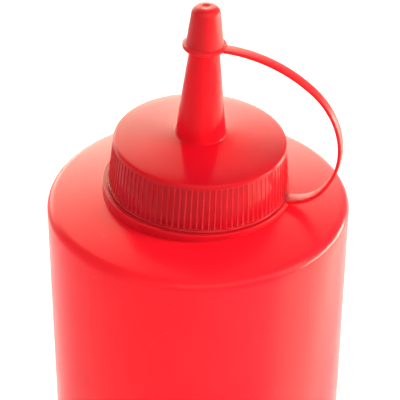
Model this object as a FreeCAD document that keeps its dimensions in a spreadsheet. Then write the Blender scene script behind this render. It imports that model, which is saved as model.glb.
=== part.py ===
import FreeCAD, Part
import math
import os
import re

import Sketcher
from FreeCAD import Placement, Rotation, Vector

# A catering squeeze bottle in soft plastic: a hollow body with a rounded foot, a shallow shoulder
# and a plain neck; a screw cap moulded in one piece with its pointed spout; and a tip cap, its
# strap and the ring round the neck, moulded as one tether.
# Origin in the middle of the foot, +Z up, the strap on the +X side. Millimetres and degrees.

# Each size that can be set by itself: its name, its value and what it measures.
SIZES = [
    ("body_radius", 35.0, "outside of the straight body"),
    ("body_height", 190.0, "foot to where side and shoulder would meet"),
    ("body_wall", 1.1, "wall of body and shoulder"),
    ("floor_wall", 1.4, "thickness of the bottom"),
    ("foot_round", 4.0, "rounding from side to foot"),
    ("stand_width", 2.5, "width of the flat ring that the bottle stands on"),
    ("push_up", 2.5, "height of the raised middle of the bottom"),
    ("push_up_slope", 3.5, "width of the slope up to it"),
    ("push_up_round", 1.2, "rounding of that slope"),
    ("shoulder_slope", 8.0, "rise of the shoulder towards the neck"),
    ("shoulder_round", 2.5, "rounding from side to shoulder"),
    ("neck_radius", 17.55, "outside of the neck"),
    ("neck_wall", 1.75, "wall of the neck"),
    ("neck_height", 13.35, "mouth above body_height"),
    ("ring_thickness", 0.7, "height of the tether's ring"),
    ("ring_ledge", 0.95, "how far that ring stands out past the cap's lip"),
    ("ring_slack", 0.15, "room between ring and neck on the far side"),
    ("ring_shift", 0.25, "how far the strap pushes the ring off centre"),
    ("ring_seat", 0.1, "room between ring and shoulder"),
    ("lean", 2.05, "tilt of the screwed-on cap towards the strap"),
    ("cap_seat", 0.05, "room between cap and ring on the low side"),
    ("mouth_seat", 0.1, "room between the neck's mouth and the cap"),
    ("thread_room", 1.7, "room for the screw thread between neck and skirt"),
    ("cap_wall", 1.15, "wall of the skirt behind the flutes"),
    ("cap_top", 1.62, "wall of the cap's top at its edge"),
    ("cap_draft", 1.05, "how much narrower the skirt is at its top"),
    ("edge_round", 0.8, "rounding between skirt and top"),
    ("lip_step", 0.2, "how far the smooth lip stands out under the ribs"),
    ("lip_height", 0.6, "height of that lip"),
    ("crown_rise", 1.65, "rise of the top from its edge to the spout"),
    ("rib_count", 96, "grip ribs round the skirt"),
    ("flute_width", 0.9, "width of the flute between two ribs"),
    ("flute_depth", 0.35, "depth of that flute"),
    ("foot_margin", 0.2, "smooth band between lip and flutes"),
    ("top_margin", 1.1, "smooth band between flutes and top"),
    ("spout_radius", 5.8, "foot of the spout"),
    ("spout_length", 29.3, "crown to the open tip"),
    ("spout_tip_radius", 2.44, "outside of the open tip"),
    ("spout_wall", 1.15, "wall of the spout"),
    ("tip_cover", 7.4, "length of spout inside the tip cap"),
    ("tip_fit", 0.1, "room between tip cap and spout"),
    ("tip_wall", 0.76, "wall of the tip cap above its flange"),
    ("tip_top_wall", 0.51, "wall where its side and top would meet"),
    ("tip_crown", 2.6, "solid top of the tip cap"),
    ("tip_round", 1.8, "rounding of that top"),
    ("dimple_radius", 1.0, "dimple in the middle of the top"),
    ("dimple_floor", 0.5, "flat floor of the dimple"),
    ("dimple_depth", 0.3, "depth of the dimple"),
    ("flange_ledge", 0.8, "how far the flange stands out round the tip cap"),
    ("flange_thickness", 1.0, "height of the flange"),
    ("flange_round", 0.4, "rounding of the flange's rim"),
    ("strap_width", 2.4, "width of the flat strap"),
    ("strap_thickness", 0.6, "thickness of the strap"),
    ("strap_root", 0.5, "how deep the strap runs into flange and ring"),
    ("strap_reach", 33.15, "axis to the widest point of the strap"),
    ("strap_reach_height", 17.7, "that point above body_height"),
    ("first_turn", 40.0, "turn of the first of the two arcs in each half"),
]

# What follows from them, so that the pieces keep fitting when a size changes.
FITS = [
    ("inner_radius", "body_radius - body_wall"),
    ("foot_ring_radius", "body_radius - foot_round - stand_width"),
    ("shoulder_rise", "(body_radius - neck_radius) * tan(shoulder_slope)"),
    ("shoulder_foot", "body_height + shoulder_rise"),
    ("wall_drop", "body_wall / cos(shoulder_slope)"),
    ("inner_corner", "body_height + body_wall * tan(shoulder_slope) - wall_drop"),
    ("bore_radius", "neck_radius - neck_wall"),
    ("inner_shoulder_foot", "shoulder_foot + neck_wall * tan(shoulder_slope) - wall_drop"),
    ("mouth", "body_height + neck_height"),
    ("skirt_bore", "neck_radius + thread_room"),
    ("skirt_radius", "skirt_bore + cap_wall + flute_depth"),
    ("edge_radius", "skirt_radius - cap_draft"),
    ("lip_radius", "skirt_radius + lip_step"),
    ("ring_radius", "lip_radius + ring_ledge"),
    ("ring_bore", "neck_radius + ring_shift + ring_slack"),
    ("ring_bottom", "shoulder_foot + ring_seat"),
    ("cap_bottom", "ring_bottom + ring_thickness + cap_seat + lip_radius * sin(lean)"),
    ("cap_ceiling", "(mouth + mouth_seat - cap_bottom) / cos(lean) + neck_radius * tan(lean)"),
    ("cap_height", "cap_ceiling + cap_top"),
    ("ceiling_bore", "edge_radius - cap_wall"),
    ("skirt_draft", "(skirt_radius - edge_radius) / (cap_height - lip_height)"),
    ("flute_foot", "lip_height + foot_margin"),
    ("flute_foot_radius", "skirt_radius - skirt_draft * foot_margin"),
    ("flute_top", "cap_height - top_margin"),
    ("flute_top_radius", "skirt_radius - skirt_draft * (flute_top - lip_height)"),
    ("flute_outside", "lip_radius + flute_depth"),
    ("crown", "cap_height + crown_rise"),
    ("inner_crown", "cap_ceiling + crown_rise"),
    ("spout_top", "crown + spout_length"),
    ("spout_draft", "(spout_radius - spout_tip_radius) / spout_length"),
    ("spout_bore", "spout_radius - spout_wall + spout_draft * (crown - inner_crown)"),
    ("tip_bore", "spout_tip_radius - spout_wall"),
    ("tip_bottom", "spout_top - tip_cover"),
    ("tip_mouth", "spout_tip_radius + spout_draft * tip_cover + tip_fit"),
    ("tip_foot_radius", "tip_mouth + tip_wall"),
    ("tip_top_radius", "spout_tip_radius + tip_fit + tip_top_wall"),
    ("flange_radius", "tip_foot_radius + flange_ledge"),
    ("tip_end", "spout_top + tip_fit"),
    ("tip_top", "tip_end + tip_crown"),
    ("flange_top", "tip_bottom + flange_thickness"),
    ("strap_level", "flange_top - (flange_thickness - strap_thickness) / 2"),
    ("strap_start", "strap_level * sin(lean) + flange_radius * cos(lean) - strap_root"),
    ("strap_top", "cap_bottom + strap_level * cos(lean) - flange_radius * sin(lean)"),
    ("strap_end", "ring_radius - ring_shift - strap_root"),
    ("strap_bottom", "ring_bottom + (ring_thickness - strap_thickness) / 2"),
    ("strap_side", "body_height + strap_reach_height"),
    ("turns", "sin(first_turn) + cos(first_turn) - 1"),
    ("second_turn", "90 - first_turn"),
    ("upper_width", "strap_reach - strap_start"),
    ("upper_height", "strap_top - strap_side"),
    ("lower_width", "strap_reach - strap_end"),
    ("lower_height", "strap_side - strap_bottom"),
    ("first_arc", "(upper_width * cos(first_turn) - upper_height * (1 - sin(first_turn))) / turns"),
    ("second_arc", "(upper_height * sin(first_turn) - upper_width * (1 - cos(first_turn))) / turns"),
    ("third_arc", "(lower_height * cos(first_turn) - lower_width * (1 - sin(first_turn))) / turns"),
    ("fourth_arc", "(lower_width * sin(first_turn) - lower_height * (1 - cos(first_turn))) / turns"),
]
FIT_NAMES = {name for name, _ in FITS}


def cells(formula, home=""):
    """The formula with each size written as its cell, as the expression engine reads it."""
    def cell(word):
        sheet = "Fits" if word.group(0) in FIT_NAMES else "Sizes"
        return word.group(0) if sheet == home else f"{sheet}.{word.group(0)}"
    return re.sub(r"\b[a-z]\w*\b(?!\()", cell, formula)


def add_sheet(name, rows):
    sheet = doc.addObject("Spreadsheet::Sheet", name)
    for row, (alias, content, *note) in enumerate(rows, start=1):
        sheet.set(f"A{row}", alias)
        sheet.set(f"B{row}", content)
        sheet.set(f"C{row}", "".join(note))
        sheet.setAlias(f"B{row}", alias)
    doc.recompute()
    return sheet


def value(formula):
    return float(sizes.evalExpression(cells(formula)))


def add_body(label):
    body = doc.addObject("PartDesign::Body", label)
    body.Label = label
    return body


def add_sketch(body, name):
    """A sketch on the body's own XZ plane: x is the distance from the axis, y the height."""
    sketch = body.newObject("Sketcher::SketchObject", name)
    plane = next(item for item in body.Origin.OriginFeatures if item.Role == "XZ_Plane")
    sketch.AttachmentSupport = [(plane, "")]
    sketch.MapMode = "FlatFace"
    return sketch


def bind(sketch, kind, name, where, formula):
    """A driving constraint that follows the formula."""
    number = value(formula)
    sketch.addConstraint(
        Sketcher.Constraint(kind, *where, math.radians(number) if kind == "Angle" else number)
    )
    sketch.renameConstraint(sketch.ConstraintCount - 1, name)
    sketch.setExpression(f"Constraints.{name}", cells(formula))


def place(sketch, name, point, x, y):
    """Ties a point of the sketch to its distances from the origin."""
    for kind, formula, axis, way in (("DistanceX", x, -2, "x"), ("DistanceY", y, -1, "y")):
        if formula == "0":
            sketch.addConstraint(Sketcher.Constraint("PointOnObject", *point, axis))
        else:
            bind(sketch, kind, f"{name}_{way}", (-1, 1, *point), formula)


def round_corner(sketch, name, before, after, spot, first, last, formula):
    """An arc from first to last that rounds the corner at spot between two sides."""
    radius = value(formula)
    inward = ((first + last) / 2 - spot).normalize()
    centre = spot + inward * math.hypot(radius, first.distanceToPoint(spot))
    turns_left = (spot - first).cross(last - spot).z > 0
    circle = Part.Circle(centre, Vector(0, 0, 1), radius)
    tips = (first, last) if turns_left else (last, first)
    arc = sketch.addGeometry(Part.ArcOfCircle(circle, *(circle.parameter(tip) for tip in tips)))
    corner = sketch.addGeometry(Part.Point(spot), True)
    entry, leave = (1, 2) if turns_left else (2, 1)
    sketch.addConstraint(Sketcher.Constraint("Tangent", before, 2, arc, entry))
    sketch.addConstraint(Sketcher.Constraint("Tangent", arc, leave, after, 1))
    sketch.addConstraint(Sketcher.Constraint("PointOnObject", corner, 1, before))
    sketch.addConstraint(Sketcher.Constraint("PointOnObject", corner, 1, after))
    bind(sketch, "Radius", f"{name}_round", (arc,), formula)
    return corner


def draw_outline(sketch, corners):
    """A closed outline, anticlockwise, through corners (name, x, y) or (name, x, y, rounding)."""
    spots = [Vector(value(x), value(y), 0) for _, x, y, *_ in corners]
    firsts, lasts = [], []
    for index, (spot, (_, _, _, *rounding)) in enumerate(zip(spots, corners)):
        back = (spots[index - 1] - spot).normalize()
        ahead = (spots[(index + 1) % len(spots)] - spot).normalize()
        cut = value(rounding[0]) / math.tan(back.getAngle(ahead) / 2) if rounding else 0
        firsts.append(spot + back * cut)
        lasts.append(spot + ahead * cut)
    sides = [
        sketch.addGeometry(Part.LineSegment(last, firsts[(index + 1) % len(firsts)]))
        for index, last in enumerate(lasts)
    ]
    for index, (name, x, y, *rounding) in enumerate(corners):
        before, after = sides[index - 1], sides[index]
        if rounding:
            ends = (spots[index], firsts[index], lasts[index])
            corner = round_corner(sketch, name, before, after, *ends, rounding[0])
            place(sketch, name, (corner, 1), x, y)
        else:
            sketch.addConstraint(Sketcher.Constraint("Coincident", before, 2, after, 1))
            place(sketch, name, (after, 1), x, y)


def draw_arcs(sketch, face, x, y, inset):
    """One face of the strap from its start: four arcs, clockwise, each tangent to the last."""
    heading = 90
    spot = Vector(value(x), value(y), 0)
    arcs = []
    turns = ("first_turn", "second_turn", "first_turn", "second_turn")
    for order, turn in zip(("first_arc", "second_arc", "third_arc", "fourth_arc"), turns):
        formula = order + inset
        radius = value(formula)
        ray = Vector(math.cos(math.radians(heading)), math.sin(math.radians(heading)), 0)
        centre = spot - ray * radius
        circle = Part.Circle(centre, Vector(0, 0, 1), radius)
        span = (math.radians(heading - value(turn)), math.radians(heading))
        arc = sketch.addGeometry(Part.ArcOfCircle(circle, *span))
        if arcs:
            sketch.addConstraint(Sketcher.Constraint("Tangent", arcs[-1], 1, arc, 2))
        else:
            place(sketch, f"{face}_start", (arc, 2), x, y)
            sketch.addConstraint(Sketcher.Constraint("Vertical", arc, 2, arc, 3))
        bind(sketch, "Radius", f"{face}_{order}_radius", (arc,), formula)
        bind(sketch, "Angle", f"{face}_{order}_turn", (arc,), turn)
        heading -= value(turn)
        spot = circle.value(span[0])
        arcs.append(arc)
    return arcs


def revolve(body, sketch, name):
    """The sketch turned round its own upright axis."""
    turned = body.newObject("PartDesign::Revolution", name)
    turned.Profile = sketch
    turned.ReferenceAxis = (sketch, ["V_Axis"])
    turned.Angle = 360
    return turned


def extrude(body, kind, sketch, name, width):
    """A pad or pocket of the side view, with half of its width on each side of the plane."""
    feature = body.newObject(kind, name)
    feature.Profile = sketch
    feature.SideType = "Symmetric"
    feature.setExpression("Length", cells(width))
    return feature


doc = FreeCAD.newDocument("SqueezeBottle")
sizes = add_sheet("Sizes", [(name, str(number), note) for name, number, note in SIZES])
fits = add_sheet("Fits", [(name, "=" + cells(formula, "Fits")) for name, formula in FITS])

# The bottle: one wall section, from the middle of the bottom out, up and back down the inside.
bottle = add_body("bottle")
wall = add_sketch(bottle, "BottleWall")
draw_outline(wall, [
    ("middle", "0", "push_up"),
    ("push_up_edge", "foot_ring_radius - push_up_slope", "push_up", "push_up_round"),
    ("foot_ring", "foot_ring_radius", "0", "push_up_round"),
    ("foot", "body_radius", "0", "foot_round"),
    ("shoulder", "body_radius", "body_height", "shoulder_round"),
    ("neck_foot", "neck_radius", "shoulder_foot"),
    ("mouth_edge", "neck_radius", "mouth"),
    ("bore_edge", "bore_radius", "mouth"),
    ("bore_foot", "bore_radius", "inner_shoulder_foot"),
    ("inner_shoulder", "inner_radius", "inner_corner", "shoulder_round - body_wall"),
    ("inner_foot", "inner_radius", "floor_wall", "foot_round - body_wall"),
    ("inner_foot_ring", "foot_ring_radius", "floor_wall"),
    ("inner_push_up_edge", "foot_ring_radius - push_up_slope", "push_up + floor_wall"),
    ("inner_middle", "0", "push_up + floor_wall"),
])
revolve(bottle, wall, "BottleTurned")

# The screw cap with its spout: the lip rests at height 0 of the body's own frame.
spout_cap = add_body("spout_cap")
section = add_sketch(spout_cap, "CapSection")
draw_outline(section, [
    ("lip_bore", "skirt_bore", "0"),
    ("lip_foot", "lip_radius", "0"),
    ("lip_top", "lip_radius", "lip_height"),
    ("skirt_foot", "skirt_radius", "lip_height"),
    ("edge", "edge_radius", "cap_height", "edge_round"),
    ("spout_foot", "spout_radius", "crown"),
    ("spout_tip", "spout_tip_radius", "spout_top"),
    ("spout_hole", "tip_bore", "spout_top"),
    ("spout_bore_foot", "spout_bore", "inner_crown"),
    ("ceiling_middle", "bore_radius", "cap_ceiling"),
    ("ceiling_edge", "ceiling_bore", "cap_ceiling"),
])
revolve(spout_cap, section, "CapTurned")

# One flute, its floor parallel to the skirt and its head run out at 45 degrees, all the way round.
flute_side = add_sketch(spout_cap, "FluteSide")
draw_outline(flute_side, [
    ("floor_foot", "flute_foot_radius - flute_depth", "flute_foot"),
    ("open_foot", "flute_outside", "flute_foot"),
    ("open_head", "flute_outside", "flute_top + flute_outside - flute_top_radius"),
    ("floor_head", "flute_top_radius - flute_depth", "flute_top - flute_depth"),
])
flute = extrude(spout_cap, "PartDesign::Pocket", flute_side, "Flute", "flute_width")
flutes = spout_cap.newObject("PartDesign::PolarPattern", "Flutes")
flutes.Originals = [flute]
flutes.Axis = (flute_side, ["V_Axis"])
flutes.Angle = 360
flutes.setExpression("Occurrences", cells("rib_count"))
spout_cap.Tip = flutes
spout_cap.Placement = Placement(Vector(), Rotation(Vector(0, 1, 0), value("lean")))
spout_cap.setExpression("Placement.Base.z", cells("cap_bottom"))
spout_cap.setExpression("Placement.Rotation.Angle", cells("lean"))

# The tether: a tip cap that leans with the spout, the flat strap, and the ring on the shoulder.
tether = add_body("tip_cap_tether")
tip = add_sketch(tether, "TipCapSection")
tip.AttachmentOffset = Placement(Vector(), Rotation(Vector(0, 0, -1), value("lean")))
tip.setExpression("AttachmentOffset.Base.y", cells("cap_bottom"))
tip.setExpression("AttachmentOffset.Rotation.Angle", cells("lean"))
draw_outline(tip, [
    ("tip_mouth", "tip_mouth", "tip_bottom"),
    ("flange_foot", "flange_radius", "tip_bottom", "flange_round"),
    ("flange_rim", "flange_radius", "flange_top", "flange_round"),
    ("tip_foot", "tip_foot_radius", "flange_top"),
    ("tip_edge", "tip_top_radius", "tip_top", "tip_round"),
    ("dimple_edge", "dimple_radius", "tip_top"),
    ("dimple_floor", "dimple_floor", "tip_top - dimple_depth"),
    ("dimple_middle", "0", "tip_top - dimple_depth"),
    ("end_middle", "0", "tip_end"),
    ("end_edge", "spout_tip_radius + tip_fit", "tip_end"),
])
revolve(tether, tip, "TipCap")

strap_side = add_sketch(tether, "StrapSide")
outer = draw_arcs(strap_side, "outer", "strap_start", "strap_top", "")
inner = draw_arcs(
    strap_side, "inner", "strap_start", "strap_top - strap_thickness", " - strap_thickness"
)
for point in (2, 1):
    arc = 0 if point == 2 else -1
    tips = [strap_side.getPoint(face[arc], point) for face in (outer, inner)]
    end = strap_side.addGeometry(Part.LineSegment(*tips))
    strap_side.addConstraint(Sketcher.Constraint("Coincident", end, 1, outer[arc], point))
    strap_side.addConstraint(Sketcher.Constraint("Coincident", end, 2, inner[arc], point))
extrude(tether, "PartDesign::Pad", strap_side, "Strap", "strap_width")

ring = add_sketch(tether, "RingSection")
ring.setExpression("AttachmentOffset.Base.x", cells("-ring_shift"))
draw_outline(ring, [
    ("ring_bore_foot", "ring_bore", "ring_bottom"),
    ("ring_foot", "ring_radius", "ring_bottom"),
    ("ring_rim", "ring_radius", "ring_bottom + ring_thickness"),
    ("ring_bore_rim", "ring_bore", "ring_bottom + ring_thickness"),
])
revolve(tether, ring, "Ring")

doc.recompute()
failed = [item.Name for item in doc.Objects if {"Invalid", "Error"} & set(item.State)]
if failed:
    raise RuntimeError(f"not built: {failed}")
sketches = [item for item in doc.Objects if item.isDerivedFrom("Sketcher::SketchObject")]
loose = [sketch.Name for sketch in sketches if sketch.solve()]
if loose:
    raise RuntimeError(f"sketches that don't solve: {loose}")

os.makedirs("parts", exist_ok=True)
for node in (bottle, spout_cap, tether):
    shape = node.Shape
    if shape.isNull() or not shape.isValid() or len(shape.Solids) != 1:
        raise RuntimeError(f"{node.Label} isn't one sound solid")
    shape.exportStep(f"parts/{node.Label}.step")
    print(f"{node.Label}: {shape.Volume / 1000:.2f} cm3, {len(shape.Faces)} faces")
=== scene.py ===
import math
import bmesh
import bpy
import numpy as np
from mathutils import Matrix, Vector


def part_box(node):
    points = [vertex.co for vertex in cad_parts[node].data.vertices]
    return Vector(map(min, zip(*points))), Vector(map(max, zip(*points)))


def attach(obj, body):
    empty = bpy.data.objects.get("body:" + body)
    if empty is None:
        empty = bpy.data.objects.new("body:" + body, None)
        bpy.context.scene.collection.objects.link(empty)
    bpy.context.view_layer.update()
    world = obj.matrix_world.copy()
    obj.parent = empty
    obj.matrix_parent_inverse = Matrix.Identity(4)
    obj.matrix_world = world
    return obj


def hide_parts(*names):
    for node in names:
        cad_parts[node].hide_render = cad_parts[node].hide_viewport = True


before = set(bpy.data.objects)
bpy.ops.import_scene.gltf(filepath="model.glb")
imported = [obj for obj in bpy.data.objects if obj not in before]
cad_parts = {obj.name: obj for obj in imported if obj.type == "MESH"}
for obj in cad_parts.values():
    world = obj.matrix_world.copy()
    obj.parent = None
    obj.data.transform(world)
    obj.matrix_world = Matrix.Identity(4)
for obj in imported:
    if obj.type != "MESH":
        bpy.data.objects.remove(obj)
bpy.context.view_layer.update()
mm = 0.001                      # the sizes below are millimetres, Blender's are metres
sharpAngle = 38                 # degrees: an edge that turns by more is shaded sharp


# A node's lowest and highest corner at rest, in millimetres.
def nodeBox(node):
    low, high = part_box(node)
    return np.array(low) / mm, np.array(high) / mm


bottleHigh = nodeBox("bottle")[1]
capLow = nodeBox("spout_cap")[0]
tetherLow, tetherHigh = nodeBox("tip_cap_tether")
print("frame loaded")


# An outline through corners (radius, height, rounding). A rounded corner is the arc that touches
# both its sides, drawn in equal turns of `arcStep` degrees or less; a straight side is cut into
# equal parts no longer than `longest`. With closed=False its two ends stay apart.
def outlineThrough(corners, longest, arcStep, closed=True):
    spots = np.array([corner[:2] for corner in corners], float)
    bends = []
    for index, spot in enumerate(spots):
        rounding = corners[index][2]
        if rounding == 0:
            bends.append(spot[None])
            continue
        back = spots[index - 1] - spot
        ahead = spots[(index + 1) % len(spots)] - spot
        back, ahead = back / np.hypot(*back), ahead / np.hypot(*ahead)
        half = math.acos(np.clip(back @ ahead, -1, 1)) / 2
        middle = (back + ahead) / np.hypot(*(back + ahead))
        centre = spot + middle * rounding / math.sin(half)
        first = spot + back * rounding / math.tan(half)
        last = spot + ahead * rounding / math.tan(half)
        start = math.atan2(*(first - centre)[::-1])
        sweep = (math.atan2(*(last - centre)[::-1]) - start + math.pi) % (2 * math.pi) - math.pi
        steps = max(2, math.ceil(math.degrees(abs(sweep)) / arcStep))
        turn = start + np.linspace(0, sweep, steps + 1)
        bends.append(centre + rounding * np.stack([np.cos(turn), np.sin(turn)], axis=1))
    points = []
    for index, bend in enumerate(bends):
        points.append(bend)
        if index + 1 < len(bends) or closed:
            side = bends[(index + 1) % len(bends)][0] - bend[-1]
            parts = max(1, math.ceil(np.hypot(*side) / longest))
            points.append(bend[-1] + side * np.linspace(0, 1, parts + 1)[1:-1, None])
    return np.concatenate(points)


# Equal turns round the axis: turn k of n is 2 pi k / n.
def equalTurns(count):
    return np.linspace(0, 2 * math.pi, count, endpoint=False)


# The turn between an angle and the nearest of the marks that stand every `step` round the axis,
# one of them at `start`: the size of (angle - start + step / 2) modulo step, less step / 2.
def turnFrom(angles, step, start=0):
    return np.abs((angles - start + step / 2) % step - step / 2)


# The outline turned round Z: point (r, z) at angle a becomes ((r + lift) cos a, (r + lift) sin a,
# z), with the lift from a function of r, z and a. An outline whose ends are on the axis closes
# there in triangles, and one with no point on the axis closes on itself.
def turned(outline, angles, lift=None):
    radius = np.repeat(outline[:, :1], len(angles), axis=1)
    height = np.repeat(outline[:, 1:], len(angles), axis=1)
    if lift:
        radius = radius + lift(radius, height, angles[None, :])
    grid = np.stack([radius * np.cos(angles), radius * np.sin(angles), height], axis=-1)
    onAxis = np.isclose(outline[:, 0], 0)
    slots = np.where(onAxis, 1, len(angles))
    firstIds = np.concatenate([[0], np.cumsum(slots)[:-1]])
    ids = firstIds[:, None] + np.where(onAxis[:, None], 0, np.arange(len(angles))[None, :])
    points = np.concatenate([row[:count] for row, count in zip(grid, slots)])
    rows = ids if onAxis.any() else np.concatenate([ids, ids[:1]])
    around = np.roll(rows, -1, axis=1)
    quads = np.stack([rows[:-1], around[:-1], around[1:], rows[1:]], axis=-1).reshape(-1, 4)
    atStart, atEnd = quads[:, 0] == quads[:, 1], quads[:, 2] == quads[:, 3]
    faces = quads[~(atStart | atEnd)].tolist()
    return points, faces + quads[atStart][:, 1:].tolist() + quads[atEnd][:, :3].tolist()


# A section (across, out) carried along a path: each path point p with outward direction n gives
# p + out * thick * n + across * wide * Y, and both ends are closed with one flat face.
def carried(path, normals, section, wide, thick):
    across = section[None, :, 0] * wide[:, None]
    out = section[None, :, 1] * thick[:, None]
    grid = path[:, None, :] + normals[:, None, :] * out[..., None]
    grid[..., 1] += across
    count = len(section)
    ids = np.arange(len(path) * count).reshape(len(path), count)
    around = np.roll(ids, -1, axis=1)
    quads = np.stack([ids[:-1], ids[1:], around[1:], around[:-1]], axis=-1).reshape(-1, 4)
    return grid.reshape(-1, 3), quads.tolist() + [ids[0].tolist(), ids[-1][::-1].tolist()]


# Points turned about Y by the angle of the lean and then raised by a height.
def leaned(points, degrees, height):
    lean = np.array(Matrix.Rotation(math.radians(degrees), 3, "Y"))
    return points @ lean.T + [0, 0, height]


# A mesh becomes an object at the origin, smooth but for its sharp edges.
def placed(name, mesh):
    mesh.shade_smooth()
    mesh.set_sharp_from_angle(angle=math.radians(sharpAngle))
    piece = bpy.data.objects.new(name, mesh)
    bpy.context.scene.collection.objects.link(piece)
    return piece


# Points in millimetres and faces become a piece in metres, with every face pointing outwards.
def makePiece(name, points, faces):
    mesh = bpy.data.meshes.new(name)
    mesh.from_pydata((points * mm).tolist(), [], faces)
    mesh.validate()
    work = bmesh.new()
    work.from_mesh(mesh)
    bmesh.ops.recalc_face_normals(work, faces=work.faces)
    work.to_mesh(mesh)
    work.free()
    return placed(name, mesh)


# One closed skin round several closed shells that run into each other.
def united(name, shells):
    keeper = shells[0]
    for shell in shells[1:]:
        union = keeper.modifiers.new(shell.name, "BOOLEAN")
        union.operation = "UNION"
        union.solver = "EXACT"
        union.object = shell
    graph = bpy.context.evaluated_depsgraph_get()
    mesh = bpy.data.meshes.new_from_object(keeper.evaluated_get(graph))
    for shell in shells:
        bpy.data.objects.remove(shell)
    mesh.name = name
    return placed(name, mesh)


# A value for every point of a piece, which its material reads by the name "marked": how much
# painted highlight and shade it gets there.
def setPaintedLight(piece, values):
    piece.data.attributes.new("paintedLight", "FLOAT", "POINT").data.foreach_set("value", values)


# A piece takes the place and the finish of its CAD node, and moves with the one body there is.
def finishPiece(piece, node, material):
    piece.data.materials.clear()
    piece.data.materials.append(material)
    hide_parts(node)
    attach(piece, "root")
    print(f"{piece.name}: {len(piece.data.polygons)} faces")


# A socket takes a plain value as it is, or a link from another node's output.
def feed(socket, value):
    if isinstance(value, bpy.types.NodeSocket):
        socket.id_data.links.new(value, socket)
    else:
        socket.default_value = value


# Two values put through a Math node, such as their product.
def worked(tree, operation, first, second):
    node = tree.nodes.new("ShaderNodeMath")
    node.operation = operation
    feed(node.inputs[0], first)
    feed(node.inputs[1], second)
    return node.outputs[0]


# A colour mix: under * (1 - share) + over * share.
def mixed(tree, under, over, share):
    node = tree.nodes.new("ShaderNodeMix")
    node.data_type = "RGBA"
    feed(node.inputs["A"], under)
    feed(node.inputs["B"], over)
    feed(node.inputs["Factor"], share)
    return node.outputs["Result"]


# A value that goes from `start` to `stop` becomes one from `low` to `high`, in a straight line or
# by smoothstep, and keeps to those two beyond them.
def ranged(tree, value, low, high, start=0, stop=1, shape="LINEAR"):
    node = tree.nodes.new("ShaderNodeMapRange")
    node.interpolation_type = shape
    feed(node.inputs["Value"], value)
    feed(node.inputs["From Min"], start)
    feed(node.inputs["From Max"], stop)
    feed(node.inputs["To Min"], low)
    feed(node.inputs["To Max"], high)
    return node.outputs["Result"]


# What the three plastics share: depths in millimetres, noise scales per metre.
sharedLook = dict(
    noiseRange=(0.3, 0.7),                   # most of a noise lies between these
    grainScale=1500, grainDepth=0.0006,
    glow=0.0, glowDepth=2.5,                 # light inside the wall, and how deep it goes
    glowSpread=(1.0, 0.12, 0.1),             # red goes furthest
    hazeSpread=0.3, hazeTint=(1.0, 0.95, 0.72),
)
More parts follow.
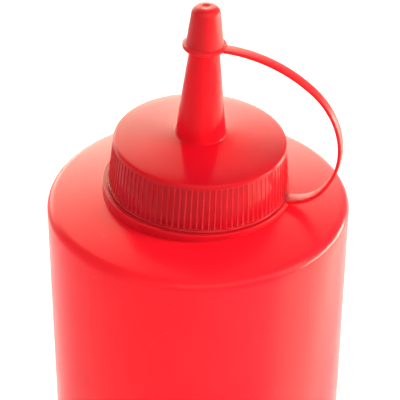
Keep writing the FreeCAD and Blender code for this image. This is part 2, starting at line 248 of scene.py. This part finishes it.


# Colour drifts between `deep` and `light` in soft clouds. Where the look has them, a paler colour
# above a height (a thin wall's tone and painted glow), faint scuffs and the painted highlight and
# shade of the chosen points are laid over it. The gloss changes with a finer cloud, and the bump
# adds
# two noises: a wide unevenness of the wall and a fine grain.
def softPlastic(name, look):
    material = bpy.data.materials.new(name)
    material.use_nodes = True
    tree = material.node_tree
    shader = tree.nodes["Principled BSDF"]
    place = tree.nodes.new("ShaderNodeTexCoord").outputs["Object"]

    # Noise at the piece's own coordinates, turned back about X and Y and then multiplied by
    # `squeeze`, which draws the marks out along the axis that has the least of it.
    def noise(scale, detail, squeeze=(1, 1, 1), turn=0):
        mapping = tree.nodes.new("ShaderNodeMapping")
        mapping.vector_type = "TEXTURE"
        feed(mapping.inputs["Vector"], place)
        feed(mapping.inputs["Scale"], [1 / part for part in squeeze])
        feed(mapping.inputs["Rotation"], (math.radians(turn), math.radians(turn), 0))
        node = tree.nodes.new("ShaderNodeTexNoise")
        feed(node.inputs["Vector"], mapping.outputs["Vector"])
        feed(node.inputs["Scale"], scale)
        feed(node.inputs["Detail"], detail)
        return node.outputs["Fac"]

    # The range that most of a noise has becomes one from `low` to `high`.
    def spread(source, low, high):
        return ranged(tree, source, low, high, *look["noiseRange"])

    # The surface seems raised by depth * height, on top of the bump before it.
    def bump(height, depth, before=None):
        node = tree.nodes.new("ShaderNodeBump")
        feed(node.inputs["Distance"], depth * mm)
        feed(node.inputs["Height"], height)
        if before is not None:
            feed(node.inputs["Normal"], before)
        return node.outputs["Normal"]

    clouds = spread(noise(look["cloudScale"], detail=2), 0, 1)
    colour = mixed(tree, (*look["deep"], 1), (*look["light"], 1), clouds)
    # A paler colour above a height: partly a thin wall's tone, partly painted glow.
    if "thinGlow" in look:
        height = tree.nodes.new("ShaderNodeSeparateXYZ")
        feed(height.inputs["Vector"], place)
        thinGlowFrom, thinGlowTo = look["thinGlowFrom"] * mm, look["thinGlowTo"] * mm
        rise = ranged(tree, height.outputs["Z"], 0, 1, thinGlowFrom, thinGlowTo, "SMOOTHSTEP")
        colour = mixed(tree, colour, (*look["thinGlow"], 1), rise)
    if "scuff" in look:
        marks = noise(look["scuffScale"], detail=2, squeeze=look["scuffSqueeze"],
                      turn=look["scuffTurn"])
        scuffs = ranged(tree, marks, 0, look["scuffMost"], *look["scuffRange"])
        colour = mixed(tree, colour, (*look["scuff"], 1), scuffs)
    # Painted highlight and shade at the points the piece gives, broken up by a noise.
    if "paintedLight" in look:
        paintedLight = tree.nodes.new("ShaderNodeAttribute")
        paintedLight.attribute_name = "paintedLight"
        patchy = spread(noise(look["paintedLightScale"], detail=3), look["paintedLightLeast"], 1)
        share = worked(tree, "MULTIPLY", paintedLight.outputs["Fac"], patchy)
        colour = mixed(tree, colour, (*look["paintedLight"], 1), share)
    feed(shader.inputs["Base Color"], colour)
    roughness = spread(noise(look["glossScale"], detail=2), *look["roughness"])
    feed(shader.inputs["Roughness"], roughness)
    unevenness = noise(look["waveScale"], detail=1, squeeze=look["waveSqueeze"])
    waves = bump(unevenness, look["waveDepth"])
    grain = bump(noise(look["grainScale"], detail=2), look["grainDepth"], before=waves)
    feed(shader.inputs["Normal"], grain)

    feed(shader.inputs["IOR"], look["ior"])
    feed(shader.inputs["Specular Tint"], (*look["hazeTint"], 1))
    feed(shader.inputs["Subsurface Weight"], look["glow"])
    feed(shader.inputs["Subsurface Radius"], look["glowSpread"])
    feed(shader.inputs["Subsurface Scale"], look["glowDepth"] * mm)
    feed(shader.inputs["Sheen Weight"], look["haze"])
    feed(shader.inputs["Sheen Roughness"], look["hazeSpread"])
    feed(shader.inputs["Sheen Tint"], (*look["hazeTint"], 1))
    return material


# The bottle: sizes in millimetres, angles in degrees.
bottle = dict(
    wall=1.1, floorWall=1.4, footRound=4.0,
    standRadius=28.5, pushUp=2.5, pushUpSlope=3.5, pushUpRound=1.2,      # the hollow under the foot
    shoulderSlope=8.0, shoulderRound=2.5,
    neckRadius=17.55, neckWall=1.75, neckHeight=13.35, neckRound=0.3, mouthRound=0.5,
    partingHeight=0.03, partingWidth=0.16, partingTurn=62.5,     # ridge where the mould halves met
    partingBand=0.6,                         # the ridge keeps to the outermost part of the wall
    partingReach=2.5, partingColumns=11,     # widths to each side of it that get close columns
    partingClear=0.004,                      # radians beside those columns that get none
    segments=288, longest=6.0, arcStep=9,    # how finely it is drawn
    look=dict(
        sharedLook, deep=(0.95, 0.006, 0.020), light=(0.99, 0.010, 0.024), cloudScale=40,
        roughness=(0.22, 0.27), glossScale=60, ior=1.25, haze=0.06,
        waveDepth=0.05, waveScale=45, waveSqueeze=(1, 1, 0.45),
        scuff=(0.98, 0.06, 0.06), scuffScale=40, scuffSqueeze=(14, 14, 1), scuffTurn=38,
        scuffRange=(0.73, 0.79), scuffMost=0.5),
)


# Where the mould halves met, the wall stands out by height * exp(-(arc / width)^2), with the arc
# counted round the wall from the nearer of two lines half a turn apart.
def partingLift(radius, height, angles):
    arc = turnFrom(angles, math.pi, math.radians(bottle["partingTurn"])) * radius
    onWall = (radius > bottleHigh[0] - bottle["partingBand"]) & (height > bottle["footRound"])
    return bottle["partingHeight"] * np.exp(-(arc / bottle["partingWidth"]) ** 2) * onWall


bodyTop = bottleHigh[2] - bottle["neckHeight"]
slope = math.tan(math.radians(bottle["shoulderSlope"]))
innerRadius = bottleHigh[0] - bottle["wall"]
boreRadius = bottle["neckRadius"] - bottle["neckWall"]
wallDrop = bottle["wall"] / math.cos(math.radians(bottle["shoulderSlope"]))
shoulderFoot = bodyTop + (bottleHigh[0] - bottle["neckRadius"]) * slope
slopeStart = bottle["standRadius"] - bottle["pushUpSlope"]
bottleOutline = outlineThrough([
    (0, bottle["pushUp"], 0),
    (slopeStart, bottle["pushUp"], bottle["pushUpRound"]),
    (bottle["standRadius"], 0, bottle["pushUpRound"]),
    (bottleHigh[0], 0, bottle["footRound"]),
    (bottleHigh[0], bodyTop, bottle["shoulderRound"]),
    (bottle["neckRadius"], shoulderFoot, bottle["neckRound"]),
    (bottle["neckRadius"], bottleHigh[2], bottle["mouthRound"]),
    (boreRadius, bottleHigh[2], bottle["mouthRound"]),
    (boreRadius, shoulderFoot + bottle["neckWall"] * slope - wallDrop, bottle["neckRound"]),
    (innerRadius, bodyTop + bottle["wall"] * slope - wallDrop,
     bottle["shoulderRound"] - bottle["wall"]),
    (innerRadius, bottle["floorWall"], bottle["footRound"] - bottle["wall"]),
    (bottle["standRadius"], bottle["floorWall"], bottle["pushUpRound"]),
    (slopeStart, bottle["pushUp"] + bottle["floorWall"], bottle["pushUpRound"]),
    (0, bottle["pushUp"] + bottle["floorWall"], 0),
], bottle["longest"], bottle["arcStep"], closed=False)
# The columns stand in equal turns, with close ones instead beside the two parting lines.
seams = np.radians([bottle["partingTurn"], bottle["partingTurn"] + 180])
besideSeam = np.linspace(-bottle["partingReach"], bottle["partingReach"], bottle["partingColumns"])
besideSeam = besideSeam * bottle["partingWidth"] / bottleHigh[0]
around = equalTurns(bottle["segments"])
isClear = turnFrom(around, math.pi, seams[0]) > besideSeam[-1] + bottle["partingClear"]
around = np.sort(np.concatenate([around[isClear], (seams[:, None] + besideSeam).ravel()]))
bottleBody = makePiece("bottleBody", *turned(bottleOutline, around, partingLift))
finishPiece(bottleBody, "bottle", softPlastic("bottlePlastic", bottle["look"]))


# The height above the floor of a level of the cap, which is its foot plus that level.
def capHeightAt(level):
    return capLow[2] + level


# The cap is drawn upright from its foot and then leans by a few degrees.
cap = dict(
    lean=2.05, lipRadius=20.95, lipHeight=0.6, lipRound=0.15,
    height=11.65, wall=1.15, skirtRadius=20.75, edgeRadius=19.7, edgeRound=0.8, crownRise=1.65,
    ribs=96, ribWidth=0.3, fluteDepth=0.22,
    ribFlat=0.18, ribSide=0.55,              # parts of ribWidth: half its flat crest, and one side
    ribColumns=(0, 0.04, 0.10, 0.165, 0.4, 0.6, 0.835, 0.90, 0.96),      # parts of a rib's pitch
    footMargin=0.2, footRun=0.12, topMargin=1.1,     # from lip and top edge to the flutes' ends
    crestLightWidth=0.2, litTurn=-15, crestLightLeast=0.12, lipLight=0.4,    # painted highlight, brightest on the lit side
    spoutRadius=5.8, spoutLength=29.3, spoutTipRadius=2.44, spoutWall=1.15, spoutRound=0.35,
    tipRound=0.2, innerRound=0.3, mouthSeat=0.1,
    faceSlack=0.05,                          # a point this near a face counts as on it
    longest=4.0, arcStep=15,
    look=dict(
        # The cap's red is darker than the bottle's: partly a deeper plastic, partly painted shade
        # on the thick skirt. Its spout is paler above a height: partly the tone of a thin wall,
        # partly painted glow of light through it.
        sharedLook, deep=(0.43, 0.004, 0.014), light=(0.49, 0.005, 0.017), cloudScale=70,
        roughness=(0.10, 0.13), glossScale=120, ior=1.20, haze=0.05, glow=1.0,
        waveDepth=0.02, waveScale=80, waveSqueeze=(1, 1, 0.6),
        paintedLight=(0.74, 0.05, 0.06), paintedLightScale=300, paintedLightLeast=0.35,    # painted highlight on rib crests and lip
        thinGlow=(0.77, 0.004, 0.016), thinGlowFrom=capHeightAt(10.8), thinGlowTo=capHeightAt(14.6)),
)
capSeat = capLow[2] + cap["lipRadius"] * math.sin(math.radians(cap["lean"]))
skirtDraft = (cap["skirtRadius"] - cap["edgeRadius"]) / (cap["height"] - cap["lipHeight"])
ribPitch = 2 * math.pi / cap["ribs"]
fluteFoot = cap["lipHeight"] + cap["footMargin"]
fluteHead = cap["height"] - cap["topMargin"]


# Between foot and head of the flutes the skirt is cut in by fluteDepth everywhere but at the ribs,
# where the cut is the smoothstep of the arc from the flat crest over the rib's side. It runs out
# over footRun at the foot and over its own depth at the head.
def ribLift(radius, height, angles):
    arc = turnFrom(angles, ribPitch) * radius
    side = (arc - cap["ribWidth"] * cap["ribFlat"]) / (cap["ribWidth"] * cap["ribSide"])
    side = np.clip(side, 0, 1)
    flute = side * side * (3 - 2 * side)
    foot = np.clip((height - fluteFoot) / cap["footRun"], 0, 1)
    head = np.clip((fluteHead - height) / cap["fluteDepth"], 0, 1)
    face = cap["skirtRadius"] - skirtDraft * (height - cap["lipHeight"])
    onSkirt = (radius > face - cap["faceSlack"]) & (height > cap["lipHeight"])
    return -cap["fluteDepth"] * flute * np.minimum(foot, head) * onSkirt


# Painted highlight: 1 along the middle of each rib's crest and 0 from crestLightWidth away, times
# the square of (1 + cos of the turn from the lit side) / 2, raised by crestLightLeast. The lip has
# an even part of it.
def crestLightAt(points):
    radius, height = np.hypot(points[:, 0], points[:, 1]), points[:, 2]
    turn = np.arctan2(points[:, 1], points[:, 0])
    arc = turnFrom(turn, ribPitch) * radius
    litShare = ((1 + np.cos(turn - math.radians(cap["litTurn"]))) / 2) ** 2
    litShare = cap["crestLightLeast"] + (1 - cap["crestLightLeast"]) * litShare
    onRib = radius > cap["edgeRadius"] - cap["faceSlack"]
    onRib &= height > cap["lipHeight"] + cap["faceSlack"]
    onRib &= height < fluteHead + cap["faceSlack"]
    onLip = radius > cap["skirtRadius"] + cap["faceSlack"]
    return np.clip(1 - arc / cap["crestLightWidth"], 0, 1) * litShare * onRib + cap["lipLight"] * onLip


crown = cap["height"] + cap["crownRise"]
lean = math.radians(cap["lean"])
ceiling = (bottleHigh[2] + cap["mouthSeat"] - capSeat) / math.cos(lean)
ceiling = ceiling + bottle["neckRadius"] * math.tan(lean)        # clear of the mouth all round
spoutTop = crown + cap["spoutLength"]
spoutDraft = (cap["spoutRadius"] - cap["spoutTipRadius"]) / cap["spoutLength"]
spoutBore = cap["spoutRadius"] - cap["spoutWall"] + spoutDraft * (cap["height"] - ceiling)
fluteLevels = [fluteFoot, fluteFoot + cap["footRun"], fluteHead - cap["fluteDepth"], fluteHead]
fluteRows = [(cap["skirtRadius"] - skirtDraft * (level - cap["lipHeight"]), level, 0)
             for level in fluteLevels]
capOutline = outlineThrough([
    (cap["skirtRadius"] - cap["fluteDepth"] - cap["wall"], 0, cap["lipRound"]),
    (cap["lipRadius"], 0, cap["lipRound"]),
    (cap["lipRadius"], cap["lipHeight"], cap["lipRound"]),
    (cap["skirtRadius"], cap["lipHeight"], 0),
    *fluteRows,
    (cap["edgeRadius"], cap["height"], cap["edgeRound"]),
    (cap["spoutRadius"], crown, cap["spoutRound"]),
    (cap["spoutTipRadius"], spoutTop, cap["tipRound"]),
    (cap["spoutTipRadius"] - cap["spoutWall"], spoutTop, cap["tipRound"]),
    (spoutBore, ceiling + cap["crownRise"], cap["innerRound"]),
    (boreRadius, ceiling, cap["innerRound"]),
    (cap["edgeRadius"] - cap["wall"], ceiling, cap["innerRound"]),
], cap["longest"], cap["arcStep"])
ribAngles = (np.arange(cap["ribs"])[:, None] + np.array(cap["ribColumns"])).ravel() * ribPitch
capPoints, capFaces = turned(capOutline, ribAngles, ribLift)
spoutCap = makePiece("spoutCap", leaned(capPoints, cap["lean"], capSeat), capFaces)
setPaintedLight(spoutCap, crestLightAt(capPoints))
finishPiece(spoutCap, "spout_cap", softPlastic("capPlastic", cap["look"]))


# The tip cap with its strap and the ring round the neck.
tether = dict(
    cover=7.4, fit=0.1, mouthRound=0.12, footRadius=4.15, footRound=0.3,
    topRadius=3.05, topRound=1.8, crown=2.6,
    dimpleRadius=1.0, dimpleFloor=0.45, dimpleDepth=0.22, dimpleRound=0.4,
    flangeRadius=4.95, flangeThickness=1.0, flangeRound=0.42,
    tipSegments=96, tipArcStep=11, longest=1.5,
    ringRadius=21.9, ringThickness=0.7, ringRound=0.2, ringShift=0.25, ringSlack=0.15,
    lipGap=0.08, ringSegments=240, ringArcStep=22,
    strapWidth=2.4, strapThickness=0.6, strapRoot=0.5, strapEdge=0.2,
    strapFuller=(1.33, 1.33, 1.33), fullerAt=(0, 0.8, 1),        # times the thickness, along it
    strapBroader=(1.25, 1.0, 1.5), broaderAt=(0, 0.3, 1),        # times the width, in the same way
    reachHeight=17.7, firstTurn=40.0, arcPoints=25, edgePoints=5,
    # Painted shade: the ring is deeper in colour than tip cap and strap. It ends shadeMargin past
    # its rim, and comes in beside the strap over shadeTurn, in radians.
    shadeMargin=0.1, shadeTurn=0.35,
    look=dict(
        sharedLook, deep=(0.59, 0.005, 0.016), light=(0.65, 0.008, 0.019), cloudScale=90,
        roughness=(0.36, 0.42), glossScale=200, ior=1.28, haze=0.25, glow=0.8, glowDepth=2.0,
        waveDepth=0.01, waveScale=120, waveSqueeze=(1, 1, 1),
        # painted shade on the ring, deeper than tip cap and strap
        paintedLight=(0.53, 0.003, 0.015), paintedLightScale=300, paintedLightLeast=0.9),
)
tipBottom = spoutTop - tether["cover"]
tipEnd = spoutTop + tether["fit"]
tipTop = tipEnd + tether["crown"]
flangeTop = tipBottom + tether["flangeThickness"]
tipMouth = cap["spoutTipRadius"] + spoutDraft * tether["cover"] + tether["fit"]
tipOutline = outlineThrough([
    (tipMouth, tipBottom, tether["mouthRound"]),
    (tether["flangeRadius"], tipBottom, tether["flangeRound"]),
    (tether["flangeRadius"], flangeTop, tether["flangeRound"]),
    (tether["footRadius"], flangeTop, tether["footRound"]),
    (tether["topRadius"], tipTop, tether["topRound"]),
    (tether["dimpleRadius"], tipTop, tether["dimpleRound"]),
    (tether["dimpleFloor"], tipTop - tether["dimpleDepth"], tether["dimpleRound"]),
    (0, tipTop - tether["dimpleDepth"], 0),
], tether["longest"], tether["tipArcStep"], closed=False)
tipInside = np.array([(0, tipEnd), (cap["spoutTipRadius"] + tether["fit"], tipEnd)])
tipOutline = np.concatenate([tipInside, tipOutline])
tipPoints, tipFaces = turned(tipOutline, equalTurns(tether["tipSegments"]))
tipCap = makePiece("tipCap", leaned(tipPoints, cap["lean"], capSeat), tipFaces)

ringLow = tetherLow[2]
ringTop = ringLow + tether["ringThickness"]
ringBore = bottle["neckRadius"] + tether["ringShift"] + tether["ringSlack"]
ringOutline = outlineThrough([
    (ringBore, ringLow, tether["ringRound"]),
    (tether["ringRadius"], ringLow, tether["ringRound"]),
    (tether["ringRadius"], ringTop, tether["ringRound"]),
    (ringBore, ringTop, tether["ringRound"]),
], tether["longest"], tether["ringArcStep"])
ringPoints, ringFaces = turned(ringOutline, equalTurns(tether["ringSegments"]))
ringPoints = ringPoints - [tether["ringShift"], 0, 0]
# The ring's upper side follows the leaning lip above it, its lower side the slope of the shoulder.
lipRise = capSeat - ringPoints[:, 0] * math.tan(lean) - tether["lipGap"] - ringTop
slopeDrop = (np.hypot(ringPoints[:, 0], ringPoints[:, 1]) - bottle["neckRadius"]) * slope
isUpper = ringPoints[:, 2] > (ringLow + ringTop) / 2
ringPoints[:, 2] += np.where(isUpper, np.maximum(lipRise, 0), -slopeDrop)
ring = makePiece("ring", ringPoints, ringFaces)

# Each half of the strap is two arcs that turn a quarter between them: firstTurn and the rest.
flatLevel = flangeTop - (tether["flangeThickness"] - tether["strapThickness"]) / 2
flangeReach = flatLevel * math.sin(lean) + tether["flangeRadius"] * math.cos(lean)
strapStart = flangeReach - tether["strapRoot"]
strapTop = capSeat + flatLevel * math.cos(lean) - tether["flangeRadius"] * math.sin(lean)
strapEnd = tether["ringRadius"] - tether["ringShift"] - tether["strapRoot"]
strapBottom = ringLow + (tether["ringThickness"] - tether["strapThickness"]) / 2
sideHeight = bodyTop + tether["reachHeight"]
firstTurn = math.radians(tether["firstTurn"])


# With first turn q, arcs of radii a and b go ahead by a sin q + b (1 - sin q) and aside by
# a (1 - cos q) + b cos q. The two radii are worked out from ahead and aside.
def arcPair(ahead, aside):
    turns = math.sin(firstTurn) + math.cos(firstTurn) - 1
    return ((ahead * math.cos(firstTurn) - aside * (1 - math.sin(firstTurn))) / turns,
            (aside * math.sin(firstTurn) - ahead * (1 - math.cos(firstTurn))) / turns)


reach = tetherHigh[0]
radii = (*arcPair(reach - strapStart, strapTop - sideHeight),
         *arcPair(sideHeight - strapBottom, reach - strapEnd))
# An arc's points are its centre plus its radius times the outward ray, in the plane of X and Z.
spot, heading = np.array([strapStart, strapTop]), math.pi / 2
pathParts, rayParts = [], []
for order, radius in enumerate(radii):
    turn = firstTurn if order % 2 == 0 else math.pi / 2 - firstTurn
    sweep = heading - np.linspace(0, turn, tether["arcPoints"])
    rays = np.stack([np.cos(sweep), np.sin(sweep)], axis=1)
    centre = spot - rays[0] * radius
    shared = min(order, 1)                   # an arc starts on the last point of the one before
    pathParts.append((centre + rays * radius)[shared:])
    rayParts.append(rays[shared:])
    spot, heading = pathParts[-1][-1], heading - turn
strapLine, strapRays = np.concatenate(pathParts), np.concatenate(rayParts)
along = np.linspace(0, 1, len(strapLine))
fuller = np.interp(along, tether["fullerAt"], tether["strapFuller"])
broader = np.interp(along, tether["broaderAt"], tether["strapBroader"])
strapLine = strapLine - strapRays * (fuller * tether["strapThickness"] / 2)[:, None]
# Line and rays get their Y, which is 0, between X and Z.
strapLine, strapRays = (np.insert(flat, 1, 0, axis=1) for flat in (strapLine, strapRays))
# Its section is a flat box with rounded edges: one corner's arc, mirrored to the other three.
halfSizes = np.array([tether["strapWidth"], tether["strapThickness"]]) / 2
edge = tether["strapEdge"]
corner = np.radians(np.linspace(0, 90, tether["edgePoints"]))
quadrant = halfSizes - edge + edge * np.stack([np.cos(corner), np.sin(corner)], axis=1)
strapSection = np.concatenate([
    quadrant, (quadrant * [-1, 1])[::-1], -quadrant, (quadrant * [1, -1])[::-1]])
strap = makePiece("strap", *carried(strapLine, strapRays, strapSection, broader, fuller))

tipCapTether = united("tipCapTether", [tipCap, strap, ring])
# Painted shade on the ring: full away from the strap, and coming in beside it.
spots = np.empty(3 * len(tipCapTether.data.vertices))
tipCapTether.data.vertices.foreach_get("co", spots)
spots = spots.reshape(-1, 3) / mm + [tether["ringShift"], 0, 0]
onRing = np.hypot(spots[:, 0], spots[:, 1]) < tether["ringRadius"] + tether["shadeMargin"]
onRing &= spots[:, 2] < capSeat
turnOff = np.abs(np.arctan2(spots[:, 1], spots[:, 0]))
setPaintedLight(tipCapTether, onRing * np.clip(turnOff / tether["shadeTurn"], 0, 1))
tetherPlastic = softPlastic("tetherPlastic", tether["look"])
finishPiece(tipCapTether, "tip_cap_tether", tetherPlastic)


# The studio. The camera looks at the target, from an azimuth, a pitch and a distance. A lamp is
# placed from the target too: a turn from the camera's side towards its right, a height in degrees
# above the level and a distance in metres, with the lamp's width and height. One with diffuse=False
# shows only in gloss, and one with glossy=False gives only soft light.
studio = dict(
    azimuth=16.06, pitch=34.21, roll=0.38, lens=153.18, sensorWidth=36.0,
    distance=395.4, target=(0.41436, 0.11491, 188.53),           # millimetres
    floorSide=6.0, floorColour=(0.8, 0.8, 0.8), floorRoughness=0.9, floorGlow=0.32,
    roomLevel=0.78, ceilingLevel=0.55,       # the room's soft light, from the horizon and overhead
    lampColour=(1.0, 0.95, 0.78),
    lamps=dict(
        rightBox=dict(turn=102, height=-5, distance=1.0, size=(0.9, 0.19), radiance=39.0,
                      diffuse=False),                            # a long low box above the table
        rightTable=dict(turn=96, height=-24, distance=0.46, size=(0.45, 0.45), radiance=2.2,
                        diffuse=False, lies=True, colour=(1.0, 0.9, 0.62)),      # the lit table
        overhead=dict(turn=35, height=43, distance=1.0, size=(2.0, 0.45), radiance=3.2,
                      diffuse=False),
        key=dict(turn=72, height=18, distance=1.0, size=(0.5, 0.5), radiance=18.0, glossy=False),
        fill=dict(turn=-40, height=10, distance=1.0, size=(0.5, 0.5), radiance=2.4, glossy=False),
        backLight=dict(turn=162, height=14, distance=1.3, size=(1.2, 1.0), radiance=4.0,
                       glossy=False)),
    glare=dict(turn=197, height=10, reach=(47, 5), level=9.0),   # a soft bright patch, low behind
)
cameraTurn = math.radians(studio["azimuth"])
pitch = math.radians(studio["pitch"])
target = Vector(studio["target"]) * mm
back = Vector((math.sin(cameraTurn) * math.cos(pitch), -math.cos(cameraTurn) * math.cos(pitch),
               math.sin(pitch)))
camera = bpy.data.objects.new("camera", bpy.data.cameras.new("camera"))
camera.data.lens = studio["lens"]
camera.data.sensor_width = studio["sensorWidth"]
camera.location = target + back * studio["distance"] * mm
aim = (-back).to_track_quat("-Z", "Y").to_matrix()
aim = aim @ Matrix.Rotation(math.radians(studio["roll"]), 3, "Z")
camera.rotation_mode = "QUATERNION"
camera.rotation_quaternion = aim.to_quaternion()
bpy.context.scene.collection.objects.link(camera)
bpy.context.scene.camera = camera
print("camera ready")


# A direction from the target: a turn from the camera's side and a height, both in degrees.
def directionTo(turn, height):
    angle, rise = cameraTurn + math.radians(turn), math.radians(height)
    return Vector((math.sin(angle) * math.cos(rise), -math.cos(angle) * math.cos(rise),
                   math.sin(rise)))


# 1 for a ray that shows the surroundings, to the camera, in gloss or through clear plastic, and 0
# for soft light: the largest of the three kinds.
def seenRay(tree):
    rays = tree.nodes.new("ShaderNodeLightPath").outputs
    bounced = worked(tree, "MAXIMUM", rays["Is Glossy Ray"], rays["Is Transmission Ray"])
    return worked(tree, "MAXIMUM", rays["Is Camera Ray"], bounced)


side = studio["floorSide"]
floorMesh = bpy.data.meshes.new("floor")
floorMesh.from_pydata([(-side, -side, 0), (side, -side, 0), (side, side, 0), (-side, side, 0)],
                      [], [(0, 1, 2, 3)])
floor = bpy.data.objects.new("floor", floorMesh)
bpy.context.scene.collection.objects.link(floor)
paper = bpy.data.materials.new("paper")
paper.use_nodes = True
tree = paper.node_tree
paperShader = tree.nodes["Principled BSDF"]
feed(paperShader.inputs["Base Color"], (*studio["floorColour"], 1))
feed(paperShader.inputs["Roughness"], studio["floorRoughness"])
feed(paperShader.inputs["Emission Color"], (1, 1, 1, 1))
floorGlow = worked(tree, "MULTIPLY", seenRay(tree), studio["floorGlow"])
feed(paperShader.inputs["Emission Strength"], floorGlow)
floor.data.materials.append(paper)

# The room is white where it is seen. Its soft light falls from roomLevel at the horizon to
# ceilingLevel overhead. Gloss sees it in the lamps' colour and also finds the bright patch behind,
# which fades with the angle from its middle by smoothstep of the cosine.
world = bpy.data.worlds.new("studio")
bpy.context.scene.world = world
world.use_nodes = True
tree = world.node_tree
sky = tree.nodes["Background"]
direction = tree.nodes.new("ShaderNodeTexCoord").outputs["Generated"]
inGloss = tree.nodes.new("ShaderNodeLightPath").outputs["Is Glossy Ray"]
upwards = tree.nodes.new("ShaderNodeSeparateXYZ")
feed(upwards.inputs["Vector"], direction)
softLevel = ranged(tree, upwards.outputs["Z"], studio["roomLevel"], studio["ceilingLevel"])
level = ranged(tree, seenRay(tree), softLevel, 1)
glare = studio["glare"]
towards = tree.nodes.new("ShaderNodeVectorMath")
towards.operation = "DOT_PRODUCT"
feed(towards.inputs[0], direction)
feed(towards.inputs[1], directionTo(glare["turn"], glare["height"]))
patchEnds = [math.cos(math.radians(end)) for end in glare["reach"]]
patch = ranged(tree, towards.outputs["Value"], 0, glare["level"], *patchEnds, "SMOOTHSTEP")
patch = worked(tree, "MULTIPLY", patch, inGloss)
feed(sky.inputs["Strength"], worked(tree, "ADD", level, patch))
feed(sky.inputs["Color"], mixed(tree, (1, 1, 1, 1), (*studio["lampColour"], 1), inGloss))

# A lamp's power is its radiance times pi times its area. It faces the target, or lies facing up.
for name, lamp in studio["lamps"].items():
    light = bpy.data.lights.new(name, "AREA")
    light.shape = "RECTANGLE"
    light.size, light.size_y = lamp["size"]
    light.color = lamp.get("colour", studio["lampColour"])
    light.energy = lamp["radiance"] * math.pi * light.size * light.size_y
    away = directionTo(lamp["turn"], lamp["height"])
    rear = Vector((0, 0, -1)) if lamp.get("lies") else away
    panel = bpy.data.objects.new(name, light)
    panel.location = target + away * lamp["distance"]
    panel.rotation_mode = "QUATERNION"
    panel.rotation_quaternion = rear.to_track_quat("Z", "Y")
    panel.visible_camera = False
    panel.visible_diffuse = lamp.get("diffuse", True)
    panel.visible_glossy = lamp.get("glossy", True)
    bpy.context.scene.collection.objects.link(panel)

bpy.context.scene.view_settings.view_transform = "Standard"
print("studio ready")
